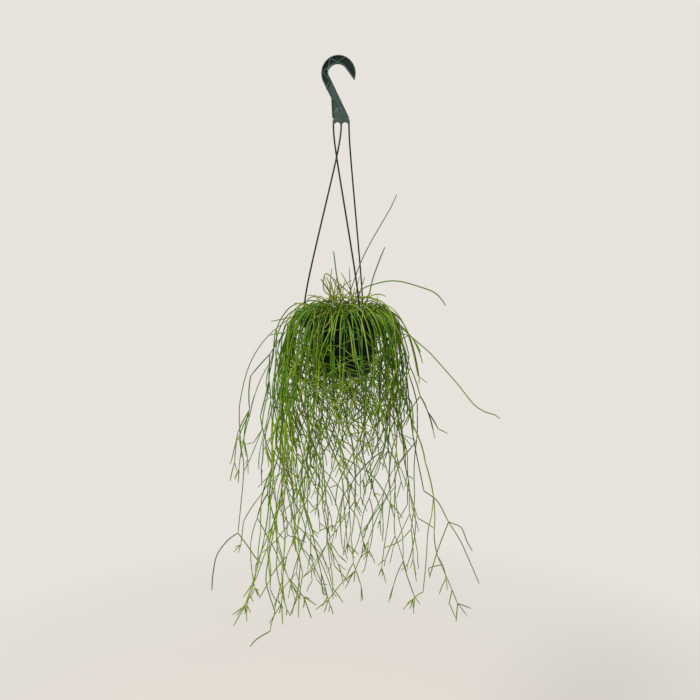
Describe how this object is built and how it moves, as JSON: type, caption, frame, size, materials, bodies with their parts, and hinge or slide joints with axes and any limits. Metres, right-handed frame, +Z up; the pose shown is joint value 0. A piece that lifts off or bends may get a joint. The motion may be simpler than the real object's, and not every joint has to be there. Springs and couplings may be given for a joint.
{
  "type": "potted rhipsalis",
  "caption": "Trailing thin-stemmed rhipsalis in a plastic hanging pot, held by a hanger with an open hook and strands that clip into the rim.",
  "frame": {"origin": "seat of the hook: the top of its throat, where its inner curve rests on what holds it", "axes": "+Z up, +X to the right and +Y away as seen from the front, with the flat hook in the XZ plane and the pot's axis on the Z axis"},
  "size_m": [0.5419, 0.3346, 1.0854],
  "materials": {
    "hanger_plastic": "satin",
    "pot_plastic": "satin",
    "potting_mix": "matte",
    "stems": "satin"
  },
  "bodies": {
    "root": {"hanger": "hanger_plastic", "pot": "pot_plastic", "soil": "potting_mix", "rhipsalis_01": "stems", "rhipsalis_02": "stems", "rhipsalis_03": "stems", "rhipsalis_04": "stems", "rhipsalis_05": "stems", "rhipsalis_06": "stems", "rhipsalis_07": "stems", "rhipsalis_08": "stems", "rhipsalis_09": "stems", "rhipsalis_10": "stems", "rhipsalis_11": "stems", "rhipsalis_12": "stems", "rhipsalis_13": "stems", "rhipsalis_14": "stems", "rhipsalis_15": "stems", "rhipsalis_16": "stems", "rhipsalis_17": "stems", "rhipsalis_18": "stems", "rhipsalis_19": "stems", "rhipsalis_20": "stems", "rhipsalis_21": "stems", "rhipsalis_22": "stems", "rhipsalis_23": "stems", "rhipsalis_24": "stems", "rhipsalis_25": "stems", "rhipsalis_26": "stems", "rhipsalis_27": "stems", "rhipsalis_28": "stems", "rhipsalis_29": "stems", "rhipsalis_30": "stems", "rhipsalis_31": "stems", "rhipsalis_32": "stems", "rhipsalis_33": "stems", "rhipsalis_34": "stems"}
  },
  "joints": []
}
